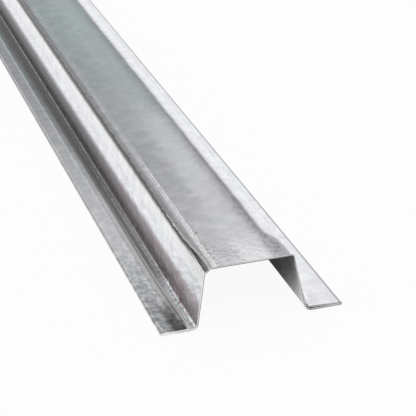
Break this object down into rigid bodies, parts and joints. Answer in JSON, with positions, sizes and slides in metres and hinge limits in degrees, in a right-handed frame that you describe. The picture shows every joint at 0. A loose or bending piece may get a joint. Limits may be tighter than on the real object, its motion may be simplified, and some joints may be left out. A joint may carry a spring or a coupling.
{
  "type": "drywall furring channel",
  "caption": "Length of galvanised hat-section furring channel: a flat crown takes drywall screws, two sloping webs stand it off, and two hemmed flanges fasten to framing.",
  "frame": {"origin": "on the seating plane, below the middle of the crown, half way along the length", "axes": "+Y along the channel, +Z from the flanges to the crown, +X across the section"},
  "size_m": [0.065, 3.048, 0.0222],
  "materials": {
    "galvanised_steel": "hot-dip galvanised sheet, dull mottled zinc with light roll marks"
  },
  "bodies": {
    "root": {"channel": "galvanised_steel"}
  },
  "joints": []
}
